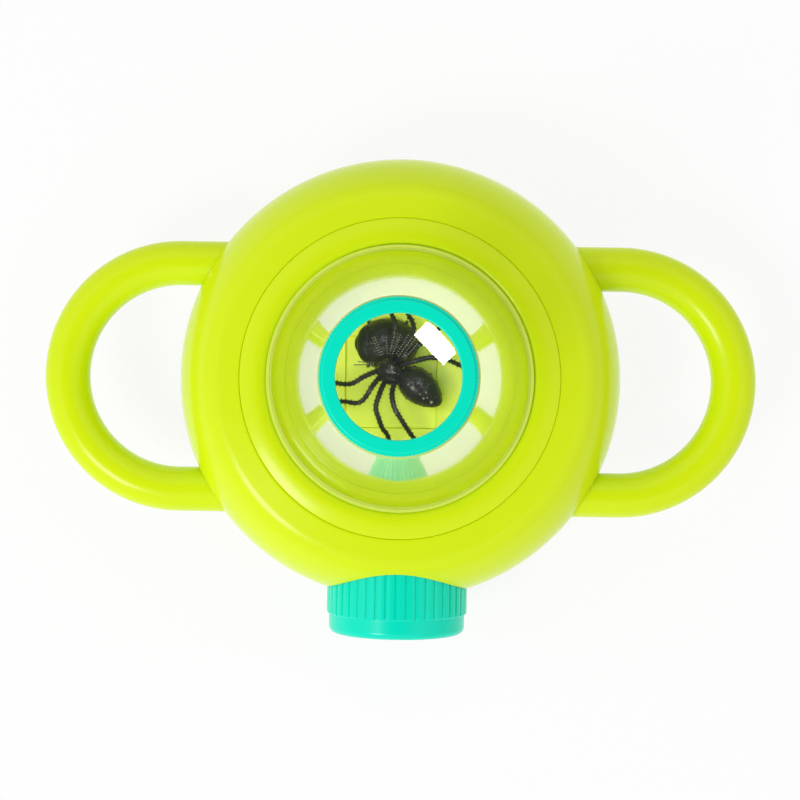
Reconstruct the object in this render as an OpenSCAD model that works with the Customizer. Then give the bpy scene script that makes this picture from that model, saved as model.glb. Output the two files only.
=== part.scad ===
// Bug catcher jar: doughnut body in two shells, two loop handles, a clear tapered viewing jar with a
// magnifier in its screw cap, and a side port closed by a ribbed screw cap.
// Millimetres. Origin at the middle of the base, +Z up. The side port faces -Y, the handles lie along X.

/* [Body] */
// Outer diameter of the doughnut body
body_d = 150; // [144:1:160]
// Diameter of the doughnut's round section
tube_d = 67; // [66:0.5:69]
// Height of the body's widest line above the surface that it stands on
equator_h = 32; // [31.5:0.25:32.5]
// Angle above the widest line at which the body's side turns into its shoulder, in degrees
shoulder_start = 46; // [45:0.5:47]
// Radius of the shoulder
shoulder_bend_r = 10; // [9:0.25:11]
// Lean of the sloping top between the shoulder and the collar ring, in degrees
top_lean = 10; // [10:0.5:12]
// Wall of the two shells
shell_wall = 2.4; // [2:0.1:2.8]

/* [Jar seat] */
// Distance from the body's widest line in to the round seat for the collar ring
seat_inset = 22.25; // [21.5:0.25:23]
// Width of the collar ring outside the jar's flange
collar_web = 5.5; // [5:0.25:6]
// Height of the seat's ledge above the body's widest line
ledge_h = 24.5; // [24.4:0.05:24.8]
// Thickness of the ledge
ledge_t = 2.6; // [2.2:0.1:2.7]
// How far the ledge reaches in under the jar's foot
mouth_step = 1.5; // [1.2:0.1:2.5]
// Height of the collar ring's inner edge above its outer edge
collar_rise = 1.6; // [0.8:0.1:2.2]

/* [Viewing jar] */
// Height of the jar's curved lower wall
jar_curve_h = 47.5; // [42:0.5:52]
// Height of the straight cone above it
jar_cone_h = 21; // [19.5:0.25:21.5]
// Slope of the wall at the foot as a share of the cone's slope
foot_slope_share = 0.554; // [0.5:0.01:0.6]
// Width of the jar's top outside its neck
jar_shelf = 3.62; // [3.4:0.02:3.8]
// Wall of the jar
jar_wall = 2.2; // [1.8:0.1:2.4]
// Width of the flange that the collar ring holds
jar_flange_wide = 3.2; // [2.9:0.1:3.5]
// Thickness of that flange
jar_flange_t = 2; // [1.6:0.1:2.4]

/* [Lens cap] */
// Outer diameter of the lens cap
lens_cap_d = 45.8; // [45.6:0.1:46.6]
// Height of the lens cap
lens_cap_h = 10.8; // [10.6:0.1:12]
// Radius of the opening over the lens
lens_open_r = 18.4; // [18.2:0.1:18.8]
// Radius of the lens
lens_r = 20; // [19.7:0.1:20.2]
// Radius of the lens's domed face
lens_dome_r = 108; // [105:1:160]
// Thickness of the lens at its edge
lens_edge_t = 1.35; // [1.2:0.05:1.5]
// Outer radius of the jar's neck
jar_neck_r = 20.3; // [20.1:0.1:20.4]
// Rise of the lens cap's thread in one turn
lens_lead = 6; // [5:0.5:7]

/* [Side cap] */
// Diameter of the side cap over its ribs
side_cap_d = 47.8; // [47.2:0.1:48.4]
// Length of the side cap
side_cap_len = 25.5; // [24.5:0.25:26.5]
// How far the cap stands out from the body's widest line
side_cap_stand = 12; // [11.5:0.1:12.5]
// Length of the smooth end band
band_len = 7; // [6:0.25:8]
// Number of ribs
rib_count = 44; // [36:1:52]
// Height of a rib
rib_h = 0.5; // [0.4:0.05:0.6]
// Share of the rib pitch that is land
rib_land_share = 0.8; // [0.6:0.05:0.85]
// Inner radius of the port
port_r = 17.8; // [17:0.1:18]
// Outer radius of the port's neck
port_neck_r = 20.2; // [20:0.1:20.3]
// Advance of the side cap's thread in one turn
side_lead = 12; // [11:0.5:13]

/* [Handles] */
// Diameter of the handle tube
grip_d = 15.2; // [14:0.2:16]
// Wall of the handle tube
grip_wall = 2; // [1.6:0.1:2.6]
// Radius of the handle's bend, on the middle of its tube
grip_bend_r = 38.6; // [38:0.2:39.4]
// Distance from the middle of the body to the middle of the bend
grip_reach = 75.2; // [72:0.4:82]

/* [Toy bugs] */
// Distance from the spider's head to its longest leg's foot, seen from above
spider_reach = 20; // [18:0.5:22]
// Height of the spider's head above the floor
spider_h = 8.6; // [8.4:0.1:10]
// Length of the beetle
beetle_len = 12; // [10:0.5:12.5]

/* [Hidden] */
$fn = 96;

lime = "yellowgreen";
teal = "turquoise";
clear = "lightcyan";
dark = "dimgray";
steel = "silver";

// Overrun of every cut, and the clearances
cut_over = 1;
slip_gap = 0.15;
seat_gap = 0.1;

// Body
body_r = body_d / 2;
tube_r = tube_d / 2;
ring_r = body_r - tube_r;
bend_r = ring_r + (tube_r - shoulder_bend_r) * cos(shoulder_start);
bend_h = (tube_r - shoulder_bend_r) * sin(shoulder_start);
top_edge_r = bend_r + shoulder_bend_r * sin(top_lean);
top_edge_h = bend_h + shoulder_bend_r * cos(top_lean);
rim_wall = shell_wall;
plate_top = shell_wall;
lip_h = 2;
lip_t = 1.2;

// Jar seat, from the outside in and from below upwards
seat_r = body_r - seat_inset;
groove_gap = 0.25;
collar_r = seat_r - groove_gap;
collar_step_gap = 0.5;
jar_flange_r = collar_r - collar_web - collar_step_gap;
jar_foot_r = jar_flange_r - jar_flange_wide;
mouth_r = jar_foot_r - jar_wall - mouth_step;
ledge_z = equator_h + ledge_h;
ledge_low = ledge_z - ledge_t;
seat_edge_z = equator_h + top_edge_h + (top_edge_r - seat_r) * tan(top_lean);
gasket_t = 1;
collar_bore_gap = 0.7;
collar_bore_r = jar_foot_r + collar_bore_gap;
collar_top_z = seat_edge_z + collar_rise;
collar_crown_share = 1.6;
collar_steps = 12;

// Jar
jar_z = ledge_z + gasket_t;
wall_z = jar_z + jar_flange_t;
cone_low_z = wall_z + jar_curve_h;
cone_top_r = jar_neck_r + jar_shelf;
cone_slope = (jar_foot_r - cone_top_r) / (jar_curve_h * (1 + foot_slope_share) / 2 + jar_cone_h);
foot_slope = cone_slope * foot_slope_share;
cone_top_z = cone_low_z + jar_cone_h;
curve_steps = 16;
shoulder_r = 0.8;
shoulder_z = cone_top_z + shoulder_r;
neck_wall = 2;
lens_thread_h = 0.8;
thread_gap = 0.35;
thread_sink = 0.6;
thread_steps = 32;
thread_turn = 20;

// Lens cap, from the top down
lens_cap_r = lens_cap_d / 2;
skirt_gap = 0.6;
lens_cap_low = shoulder_z + skirt_gap;
lens_cap_top = lens_cap_low + lens_cap_h;
lens_lip_t = 2;
lens_seat_z = lens_cap_top - lens_lip_t;
lens_rim_sag = lens_dome_sag(lens_r) - lens_dome_sag(lens_open_r);
lens_low_z = lens_seat_z - lens_edge_t - lens_rim_sag;
retainer_t = 1.4;
seal_t = 0.8;
retainer_low = lens_low_z - retainer_t;
seal_low = retainer_low - seal_t;
jar_top = seal_low - seat_gap;
lens_bore_r = jar_neck_r + lens_thread_h + thread_gap;
serration_h = 0.35;
serration_count = 120;
serration_stop = 0.5;
neck_bore_r = jar_neck_r - neck_wall;
lens_thread_w = 1.3;
lens_thread_turns = 0.5;
lens_starts = 2;

// Chamber
bowl_wall = 2.2;
bowl_gap = 0.6;
bowl_r = mouth_r + bowl_gap + bowl_wall;
bowl_bore_r = mouth_r + bowl_gap;
bowl_z = plate_top;
bowl_top = ledge_low - seat_gap;
bowl_floor_z = bowl_z + bowl_wall;
panel_t = 1.4;
floor_z = bowl_floor_z + panel_t;
panel_gap = 0.3;
locate_gap = 0.3;
locate_wall = 1.5;
locate_h = 2.6;
well_size = 16.8;
well_depth = 1;
well_x = -2.1;

// Side port, in distances from the middle of the body along its axis
cap_end = body_r + side_cap_stand;
cap_rim = cap_end - side_cap_len;
rim_gap = 1.5;
pocket_floor = cap_rim - rim_gap;
pocket_wall = 2.2;
pocket_gap = 0.35;
side_cap_r = side_cap_d / 2;
pocket_r = side_cap_r + pocket_gap;
cap_end_t = 2.4;
cap_in = cap_end - cap_end_t;
liner_t = 1.4;
liner_face = cap_in - liner_t;
neck_tip = liner_face - seat_gap;
side_thread_h = 1;
side_bore_r = port_neck_r + side_thread_h + thread_gap;
side_thread_w = 1.8;
side_thread_turns = 0.75;
side_starts = 3;
band_step = 0.2;
band_draft = 0.5;
band_edge = 2.2;
band_steps = 6;
shoulder_out = pocket_floor - pocket_wall - seat_gap;
port_boss_out = 3.6;
bowl_face = bowl_r + port_boss_out;
neck_gasket_t = 2;
shoulder_in = bowl_face + neck_gasket_t;
shoulder_wide = 1.3;
port_shoulder_r = port_neck_r + shoulder_wide;
port_hole_r = port_neck_r + 2 * slip_gap;
vent_hole_r = 1.1;
vent_ring_step = 5;
vent_rings = 2;
screen_t = 0.5;
screen_r = port_r - 2 * slip_gap;
screen_hole_r = 0.8;
screen_pitch = 3.4;

// Handles
grip_r = grip_d / 2;
root_in = 24.5;
root_x = body_r - root_in;
root_flange_t = 2;
root_flange_wide = 1.9;
root_flange_r = grip_r + root_flange_wide;
saddle_gap = 0.4;
saddle_t = 3;
saddle_wide = 11;

// Screws of the shells
boss_out = 5.25;
boss_ring_r = seat_r + boss_out;
boss_r = 4.6;
boss_angles = [0, 60, 120, 180, 235, 305];
head_r = 2.8;
head_t = 2;
head_gap = 0.3;
head_depth = 12;
head_z = equator_h - head_depth;
shank_r = 1.5;
pilot_gap = 0.05;
shank_gap = 0.25;
shank_up = 8;
pilot_up = 10;

// Screws of the collar ring
collar_screw_ring = (jar_flange_r + collar_step_gap + collar_r) / 2;
collar_screw_count = 6;
collar_head_r = 2;
collar_head_t = 1.5;
collar_shank_r = 1.05;
collar_shank_up = 3;
collar_pilot_up = 3.4;

// Toy bugs: legs are [knee angle, knee share of the reach, foot angle, foot share of the reach]
spider_x = -2.5;
spider_y = 2.3;
head_ball_r = 2.4;
abdomen_len = 10.4;
abdomen_w = 6.8;
abdomen_angle = -43.5;
abdomen_sink = 0.4;
egg_taper_share = 0.12;
leg_root_r = 0.55;
leg_tip_r = 0.4;
knee_up = 2.6;
leg_shares = [
    [190, 0.36, 198, 0.87],
    [229, 0.36, 204, 0.85],
    [249, 0.35, 274, 0.97],
    [278, 0.37, 295, 1],
    [85, 0.38, 95, 0.89],
    [58, 0.39, 79, 0.9],
    [37, 0.43, 39, 0.93],
    [15, 0.45, 354, 1]
];
beetle_x = -2.9;
beetle_y = 7;
beetle_w = beetle_len * 5 / 6;
beetle_h = beetle_len * 0.5;
beetle_lift = 0.6;
beetle_leg_r = 0.4;
beetle_leg_out = 1.2;

function lens_dome_sag(r) = lens_dome_r - sqrt(lens_dome_r ^ 2 - r ^ 2);

// Outer radius of the jar's curved wall, at a share of its height
function jar_curve_r(share) = jar_foot_r
    - jar_curve_h * (foot_slope * share + (cone_slope - foot_slope) * share ^ 2 / 2);

// Axis frames

module at_equator() {
    translate([0, 0, equator_h]) children();
}

// Local +Z runs out along the side port
module on_port() {
    at_equator() rotate([90, 0, 0]) children();
}

module ring(r_out, r_in, low, high) {
    translate([0, 0, low]) difference() {
        cylinder(r = r_out, h = high - low);
        translate([0, 0, -cut_over]) cylinder(r = r_in, h = high - low + 2 * cut_over);
    }
}

// One helical ridge with blunt ends: its root is sunk into the wall that carries it, and it narrows
// from width at that wall's radius to half of it at the crest
module ridge(wall, crest, width, lead, turns) {
    steps = ceil(thread_steps * turns);
    outward = crest > wall;
    root = outward ? wall - thread_sink : wall + thread_sink;
    slope = width / 4 / abs(crest - wall);
    root_half = width / 2 + slope * thread_sink;
    function side(i) = let (
        a = 360 * turns * i / steps,
        z = lead * turns * i / steps
    ) [
        [root * cos(a), root * sin(a), z - root_half],
        [crest * cos(a), crest * sin(a), z - width / 4],
        [crest * cos(a), crest * sin(a), z + width / 4],
        [root * cos(a), root * sin(a), z + root_half]
    ];
    points = [for (i = [0:steps]) each side(i)];
    walls = [for (i = [0:steps - 1], k = [0:3]) let (
        a = 4 * i + k,
        b = 4 * i + (k + 1) % 4
    ) each [[a, a + 4, b + 4], [a, b + 4, b]]];
    last = 4 * steps;
    ends = [[0, 1, 2], [0, 2, 3], [last, last + 2, last + 1], [last, last + 3, last + 2]];
    faces = [for (f = concat(walls, ends)) outward ? [f[2], f[1], f[0]] : f];
    polyhedron(points, faces, convexity = 6);
}

// The ridges of a thread with several starts
module thread(starts, wall, crest, width, lead, turns) {
    for (i = [0:starts - 1]) rotate([0, 0, 360 * i / starts + thread_turn])
        ridge(wall, crest, width, lead, turns);
}

// Body shells

module tube_section(inset) {
    translate([ring_r, 0]) circle(r = tube_r - inset, $fn = 160);
}

// Upper half of the body's section: the round side, the shoulder and the sloping top
module top_section(inset) {
    side = 2 * tube_r;
    bend = shoulder_bend_r - inset;
    edge = [bend_r + bend * sin(top_lean), bend_h + bend * cos(top_lean)];
    intersection() {
        tube_section(inset);
        translate([ring_r, 0]) polygon([[0, 0], [side, 0], [side, side],
            side * [cos(shoulder_start), sin(shoulder_start)]]);
    }
    translate([bend_r, bend_h]) circle(r = bend, $fn = 96);
    polygon([[0, 0], [ring_r, 0], [bend_r, bend_h], edge, [0, edge[1] + edge[0] * tan(top_lean)]]);
}

module body_solid(inset) {
    at_equator() rotate_extrude($fn = 160) {
        top_section(inset);
        intersection() {
            tube_section(inset);
            translate([ring_r, -tube_r]) square([tube_r, tube_r]);
        }
    }
}

module half_space(up) {
    size = 2 * (body_r + tube_r);
    translate([-size / 2, -size / 2, up ? equator_h : equator_h - size]) cube(size);
}

module upper_section() {
    riser_low = ledge_low - equator_h;
    intersection() {
        difference() {
            top_section(0);
            top_section(shell_wall);
        }
        translate([seat_r, 0]) square([body_r, tube_r + cut_over]);
    }
    intersection() {
        top_section(0);
        translate([seat_r, riser_low]) square([rim_wall, tube_r]);
    }
    translate([mouth_r, riser_low]) square([seat_r + rim_wall - mouth_r, ledge_t]);
}

module lower_section() {
    base = -equator_h;
    intersection() {
        difference() {
            tube_section(0);
            tube_section(shell_wall);
        }
        translate([ring_r, base]) square([body_r, equator_h]);
    }
    intersection() {
        tube_section(0);
        translate([ring_r, base]) square([body_r, shell_wall]);
    }
    translate([0, base]) square([ring_r + shell_wall, shell_wall]);
}

// Bosses, saddles and pocket walls that one shell carries inside
module shell_fittings(up) {
    intersection() {
        union() {
            for (a = boss_angles) rotate([0, 0, a]) translate([boss_ring_r, 0, 0])
                cylinder(r = boss_r, h = 2 * equator_h);
            for (sx = [-1, 1], sy = [-1, 1]) saddle(sx, sy);
            pocket_solid();
        }
        body_solid(shell_wall / 2);
        half_space(up);
    }
}

module saddle(sx, sy) {
    x = root_x + root_flange_t + saddle_gap;
    translate([sx > 0 ? x : -x - saddle_t, sy * grip_bend_r - saddle_wide, 0])
        cube([saddle_t, 2 * saddle_wide, 2 * equator_h]);
}

module pocket_solid() {
    out = pocket_floor - pocket_wall;
    on_port() translate([0, 0, out]) cylinder(r = pocket_r + pocket_wall, h = body_r - out);
}

// What passes through both shells: cap pocket, port neck and the four handle roots
module shell_cuts() {
    on_port() translate([0, 0, pocket_floor]) cylinder(r = pocket_r, h = body_r);
    on_port() cylinder(r = port_hole_r, h = body_r);
    for (sx = [-1, 1], sy = [-1, 1])
        translate([0, sy * grip_bend_r, equator_h]) rotate([0, sx * 90, 0])
            translate([0, 0, root_x]) cylinder(r = grip_r + slip_gap, h = body_r);
}

module lower_shell() {
    color(lime) difference() {
        union() {
            at_equator() rotate_extrude($fn = 160) lower_section();
            shell_fittings(false);
            ring(bowl_r + locate_gap + locate_wall, bowl_r + locate_gap, plate_top - seat_gap,
                plate_top + locate_h);
            ring(body_r - shell_wall / 2, body_r - shell_wall - slip_gap - lip_t,
                equator_h - lip_h, equator_h);
            ring(body_r - shell_wall - slip_gap, body_r - shell_wall - slip_gap - lip_t,
                equator_h - lip_h, equator_h + lip_h);
        }
        shell_cuts();
        for (a = boss_angles) rotate([0, 0, a]) translate([boss_ring_r, 0, -cut_over]) {
            cylinder(r = head_r + head_gap, h = head_z + cut_over);
            cylinder(r = shank_r + shank_gap, h = 2 * equator_h);
        }
    }
}

module upper_shell() {
    color(lime) difference() {
        union() {
            at_equator() rotate_extrude($fn = 160) upper_section();
            difference() {
                shell_fittings(true);
                at_equator() translate([0, 0, -cut_over])
                    cylinder(r = seat_r + rim_wall / 2, h = ledge_h + tube_r);
                ring(body_r, body_r - shell_wall - 2 * slip_gap - lip_t, equator_h - cut_over,
                    equator_h + lip_h + slip_gap);
            }
        }
        shell_cuts();
        for (a = boss_angles) rotate([0, 0, a]) translate([boss_ring_r, 0, 0])
            cylinder(r = shank_r + pilot_gap, h = equator_h + pilot_up);
        collar_screw_places() cylinder(r = collar_shank_r + shank_gap, h = 2 * ledge_z);
    }
}

module shell_screws() {
    color(steel) for (a = boss_angles) rotate([0, 0, a]) translate([boss_ring_r, 0, head_z]) {
        translate([0, 0, -head_t]) cylinder(r = head_r, h = head_t);
        cylinder(r = shank_r, h = equator_h - head_z + shank_up);
    }
}

// Collar ring, its screws and the jar's gasket

module collar_screw_places() {
    for (i = [0:collar_screw_count - 1]) rotate([0, 0, 360 * i / collar_screw_count])
        translate([collar_screw_ring, 0, 0]) children();
}

module collar_ring() {
    step_r = jar_flange_r + collar_step_gap;
    step_z = wall_z + seat_gap;
    crown_r = (collar_r - collar_bore_r) * collar_crown_share;
    half = atan2(collar_top_z - seat_edge_z, collar_r - collar_bore_r);
    chord = norm([collar_r - collar_bore_r, collar_top_z - seat_edge_z]);
    swing = asin(chord / 2 / crown_r);
    mid = [(collar_r + collar_bore_r) / 2, (collar_top_z + seat_edge_z) / 2];
    drop = crown_r * cos(swing);
    centre = mid - drop * [sin(half), cos(half)];
    crown = [for (i = [0:collar_steps]) let (a = 90 - half - swing + 2 * swing * i / collar_steps)
        centre + crown_r * [cos(a), sin(a)]];
    color(lime) difference() {
        rotate_extrude() polygon(concat(
            [[collar_r, ledge_z]],
            crown,
            [[collar_bore_r, step_z], [step_r, step_z], [step_r, ledge_z]]
        ));
        collar_screw_places() cylinder(r = collar_shank_r + pilot_gap, h = ledge_z + collar_pilot_up);
    }
}

module collar_screws() {
    color(steel) collar_screw_places() {
        translate([0, 0, ledge_low - collar_head_t]) cylinder(r = collar_head_r, h = collar_head_t, $fn = 32);
        translate([0, 0, ledge_low]) cylinder(r = collar_shank_r, h = ledge_t + collar_shank_up, $fn = 32);
    }
}

module jar_gasket() {
    color(dark) ring(jar_flange_r - 2 * slip_gap, mouth_r + bowl_wall, ledge_z, jar_z);
}

// Viewing jar

module viewing_jar() {
    inset = jar_wall * sqrt(1 + cone_slope ^ 2);
    outer = [for (i = [0:curve_steps]) let (share = i / curve_steps)
        [jar_curve_r(share), wall_z + jar_curve_h * share]];
    inner = [for (p = outer) [p[0] - inset, p[1]]];
    round_top = [for (a = [15:15:75]) [
        cone_top_r - shoulder_r * (1 - cos(a)),
        cone_top_z + shoulder_r * sin(a)
    ]];
    backward = [for (i = [curve_steps:-1:0]) inner[i]];
    color(clear) union() {
        rotate_extrude($fn = 160) polygon(concat(
            [[jar_flange_r, jar_z], [jar_flange_r, wall_z]],
            outer,
            [[cone_top_r, cone_top_z]],
            round_top,
            [[cone_top_r - shoulder_r, shoulder_z], [jar_neck_r, shoulder_z]],
            [[jar_neck_r, jar_top], [neck_bore_r, jar_top]],
            [[neck_bore_r, shoulder_z - jar_wall], [cone_top_r - inset - shoulder_r, shoulder_z - jar_wall]],
            [[cone_top_r - inset, cone_top_z - jar_wall / 2]],
            backward,
            [[jar_foot_r - inset, jar_z]]
        ));
        translate([0, 0, shoulder_z + lens_thread_w])
            thread(lens_starts, jar_neck_r, jar_neck_r + lens_thread_h, lens_thread_w, lens_lead,
                lens_thread_turns);
    }
}

// Lens cap and what it holds

module lens_cap() {
    color(teal) union() {
        difference() {
            translate([0, 0, lens_cap_low]) cylinder(r = lens_cap_r - serration_h - slip_gap, h = lens_cap_h);
            translate([0, 0, lens_cap_low - cut_over])
                cylinder(r = lens_bore_r, h = lens_low_z - lens_cap_low + cut_over);
            translate([0, 0, lens_low_z - cut_over])
                cylinder(r = lens_r + slip_gap, h = lens_seat_z - lens_low_z + cut_over);
            cylinder(r = lens_open_r, h = lens_cap_top + cut_over);
        }
        translate([0, 0, lens_cap_low]) linear_extrude(lens_cap_h - serration_stop)
            serrated_edge(lens_cap_r, serration_h, serration_count, lens_bore_r + slip_gap);
        translate([0, 0, shoulder_z + lens_thread_w + lens_lead / lens_starts / 2])
            thread(lens_starts, lens_bore_r, lens_bore_r - lens_thread_h, lens_thread_w, lens_lead,
                lens_thread_turns / 2);
    }
}

// Ring with a saw edge of small triangular teeth
module serrated_edge(r, depth, count, bore) {
    difference() {
        polygon([for (i = [0:2 * count - 1]) let (
            a = 180 * i / count,
            q = i % 2 == 0 ? r : r - depth
        ) [q * cos(a), q * sin(a)]]);
        circle(r = bore);
    }
}

module magnifier_lens() {
    dome_z = lens_low_z + lens_edge_t + lens_dome_sag(lens_r);
    color(clear) intersection() {
        translate([0, 0, lens_low_z]) cylinder(r = lens_r, h = 2 * lens_edge_t + lens_dome_sag(lens_r));
        translate([0, 0, dome_z - lens_dome_r]) sphere(r = lens_dome_r, $fn = 200);
    }
}

module lens_retainer() {
    color(teal) ring(lens_bore_r - slip_gap, lens_open_r, retainer_low, lens_low_z);
}

module lens_cap_seal() {
    color(dark) ring(jar_neck_r + lens_thread_h, neck_bore_r + seat_gap, seal_low, retainer_low);
}

// Chamber

module chamber_bowl() {
    color(lime) difference() {
        union() {
            translate([0, 0, bowl_z]) cylinder(r = bowl_r, h = bowl_top - bowl_z);
            on_port() cylinder(r = port_shoulder_r + slip_gap, h = bowl_face);
        }
        translate([0, 0, bowl_floor_z]) cylinder(r = bowl_bore_r, h = bowl_top);
        on_port() cylinder(r = port_r, h = bowl_face + cut_over);
    }
}

module floor_panel() {
    color(lime) difference() {
        translate([0, 0, bowl_floor_z]) cylinder(r = bowl_bore_r - panel_gap, h = panel_t);
        translate([well_x - well_size / 2, -well_size / 2, floor_z - well_depth])
            cube([well_size, well_size, well_depth + cut_over]);
    }
}

// Side port and its cap

module side_neck() {
    color(lime) on_port() {
        difference() {
            union() {
                translate([0, 0, shoulder_in]) cylinder(r = port_shoulder_r, h = shoulder_out - shoulder_in);
                translate([0, 0, shoulder_in]) cylinder(r = port_neck_r, h = neck_tip - shoulder_in);
            }
            translate([0, 0, shoulder_in - cut_over])
                cylinder(r = port_r, h = neck_tip - shoulder_in + 2 * cut_over);
        }
        translate([0, 0, side_thread_z()])
            thread(side_starts, port_neck_r, port_neck_r + side_thread_h, side_thread_w, side_lead,
                side_thread_turns);
    }
}

// Where the neck's thread starts, so that it ends just short of the tip
function side_thread_z() = neck_tip - side_thread_w - side_lead * side_thread_turns;

module neck_gasket() {
    color(dark) on_port()
        ring(port_shoulder_r - slip_gap, port_r + 2 * slip_gap, bowl_face, shoulder_in);
}

module side_cap() {
    ribbed_len = side_cap_len - band_len;
    root_r = side_cap_r - rib_h;
    band_r = root_r - band_step;
    end_r = band_r - band_draft;
    edge = [for (i = [0:band_steps]) let (a = 90 * i / band_steps)
        [end_r - band_edge * (1 - cos(a)), cap_end - band_edge * (1 - sin(a))]];
    land = rib_land_share * 360 / rib_count;
    color(teal) on_port() {
        difference() {
            union() {
                translate([0, 0, cap_rim]) cylinder(r = root_r, h = ribbed_len);
                rotate_extrude() polygon(concat(
                    [[0, cap_rim], [band_r, cap_rim], [band_r, cap_rim + ribbed_len]],
                    edge,
                    [[0, cap_end]]
                ));
                translate([0, 0, cap_rim + slip_gap]) linear_extrude(ribbed_len - slip_gap)
                    for (i = [0:rib_count - 1]) rotate(360 * i / rib_count) polygon([
                        [root_r - rib_h, -root_r * sin(land / 2)],
                        [side_cap_r, -side_cap_r * sin(land / 2) + rib_h / 3],
                        [side_cap_r, side_cap_r * sin(land / 2) - rib_h / 3],
                        [root_r - rib_h, root_r * sin(land / 2)]
                    ]);
            }
            cylinder(r = side_bore_r, h = cap_in);
            vent_holes();
        }
        translate([0, 0, side_thread_z() + side_lead / side_starts / 2])
            thread(side_starts, side_bore_r, side_bore_r - side_thread_h, side_thread_w, side_lead,
                side_thread_turns / 2);
    }
}

module vent_holes() {
    cylinder(r = vent_hole_r, h = cap_end + cut_over, $fn = 24);
    for (k = [1:vent_rings], i = [0:6 * k - 1]) rotate([0, 0, 60 * i / k])
        translate([k * vent_ring_step, 0, 0]) cylinder(r = vent_hole_r, h = cap_end + cut_over, $fn = 24);
}

module side_cap_liner() {
    color("white") on_port() ring(side_bore_r - 2 * slip_gap, port_r, liner_face, cap_in);
}

module vent_screen() {
    rows = floor((screen_r - 2 * screen_hole_r) / screen_pitch);
    color(dark) on_port() difference() {
        translate([0, 0, cap_in - screen_t]) cylinder(r = screen_r, h = screen_t);
        for (i = [-rows:rows], k = [-rows:rows]) {
            x = (i + k / 2) * screen_pitch;
            y = k * sin(60) * screen_pitch;
            if (norm([x, y]) < screen_r - 2 * screen_hole_r) translate([x, y, cap_in - screen_t - cut_over])
                cylinder(r = screen_hole_r, h = screen_t + 2 * cut_over, $fn = 16);
        }
    }
}

// Handles

module grip_line(r, start) {
    at_equator() {
        translate([grip_reach, 0, 0]) rotate([0, 0, -90]) rotate_extrude(angle = 180)
            translate([grip_bend_r, 0]) circle(r = r, $fn = 64);
        for (sy = [-1, 1]) translate([start, sy * grip_bend_r, 0]) rotate([0, 90, 0])
            cylinder(r = r, h = grip_reach - start, $fn = 64);
    }
}

module handle() {
    color(lime) difference() {
        union() {
            grip_line(grip_r, root_x);
            for (sy = [-1, 1]) translate([root_x, sy * grip_bend_r, equator_h]) rotate([0, 90, 0])
                cylinder(r = root_flange_r, h = root_flange_t);
        }
        grip_line(grip_r - grip_wall, root_x - cut_over);
    }
}

module handle_left() {
    rotate([0, 0, 180]) handle();
}

module handle_right() {
    handle();
}

// Toy bugs, standing on the floor panel

module limb(points, radii) {
    for (i = [0:len(points) - 2]) hull() {
        translate(points[i]) sphere(r = radii[i], $fn = 6);
        translate(points[i + 1]) sphere(r = radii[i + 1], $fn = 6);
    }
}

module egg(length, width) {
    steps = 14;
    rotate_extrude($fn = 36) polygon([for (i = [0:steps]) let (a = 180 * i / steps - 90)
        [width / 2 * cos(a) * (1 - egg_taper_share * sin(a)), length / 2 * sin(a)]]);
}

module toy_spider() {
    head = [spider_x, spider_y, floor_z + spider_h];
    out = [cos(abdomen_angle), sin(abdomen_angle), 0];
    color(dark) {
        translate(head) sphere(r = head_ball_r, $fn = 32);
        translate(head + out * (head_ball_r + abdomen_len / 2 - abdomen_sink) - [0, 0, abdomen_sink])
            rotate([0, 90, abdomen_angle]) egg(abdomen_len, abdomen_w);
        for (leg = leg_shares) {
            knee = leg[1] * spider_reach;
            foot = leg[3] * spider_reach;
            limb([
                head,
                head + [knee * cos(leg[0]), knee * sin(leg[0]), knee_up],
                [head[0] + foot * cos(leg[2]), head[1] + foot * sin(leg[2]), floor_z + leg_tip_r + seat_gap]
            ], [leg_root_r, leg_root_r, leg_tip_r]);
        }
    }
}

module toy_beetle() {
    base = floor_z + beetle_lift;
    half = (beetle_len - beetle_w) / 2;
    color(dark) translate([beetle_x, beetle_y, 0]) {
        intersection() {
            hull() for (s = [-1, 1]) translate([s * half, 0, base]) sphere(r = beetle_w / 2, $fn = 32);
            translate([-beetle_len, -beetle_len, base]) cube([2 * beetle_len, 2 * beetle_len, beetle_h]);
        }
        for (s = [-1, 1], i = [-1:1]) limb([
            [i * beetle_w / 3, s * beetle_w / 3, base + beetle_leg_r],
            [i * beetle_w / 2, s * (beetle_w / 2 + beetle_leg_out), floor_z + beetle_leg_r + seat_gap]
        ], [beetle_leg_r, beetle_leg_r]);
    }
}

lower_shell();
upper_shell();
collar_ring();
jar_gasket();
viewing_jar();
chamber_bowl();
floor_panel();
side_neck();
neck_gasket();
side_cap();
side_cap_liner();
vent_screen();
lens_cap();
magnifier_lens();
lens_retainer();
lens_cap_seal();
handle_left();
handle_right();
shell_screws();
collar_screws();
toy_spider();
toy_beetle();
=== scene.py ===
import math

import bmesh
import bpy
from mathutils import Matrix, Vector, noise


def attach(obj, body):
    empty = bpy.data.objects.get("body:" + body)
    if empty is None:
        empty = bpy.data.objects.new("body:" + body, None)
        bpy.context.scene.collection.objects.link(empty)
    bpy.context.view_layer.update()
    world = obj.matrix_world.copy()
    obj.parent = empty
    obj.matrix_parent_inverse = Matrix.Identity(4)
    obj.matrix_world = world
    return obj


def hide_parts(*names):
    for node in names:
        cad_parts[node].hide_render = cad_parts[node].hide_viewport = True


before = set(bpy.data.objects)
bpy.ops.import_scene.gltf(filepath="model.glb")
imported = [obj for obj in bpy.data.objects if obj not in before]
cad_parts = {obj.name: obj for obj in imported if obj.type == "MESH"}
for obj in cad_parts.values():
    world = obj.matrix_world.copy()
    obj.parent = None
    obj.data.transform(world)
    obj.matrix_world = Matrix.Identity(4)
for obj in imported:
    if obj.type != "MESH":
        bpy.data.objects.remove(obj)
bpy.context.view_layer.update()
mm = 0.001
near = 2e-5  # metres within which a vertex counts as being on a ring
halfTurn = math.pi
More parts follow.
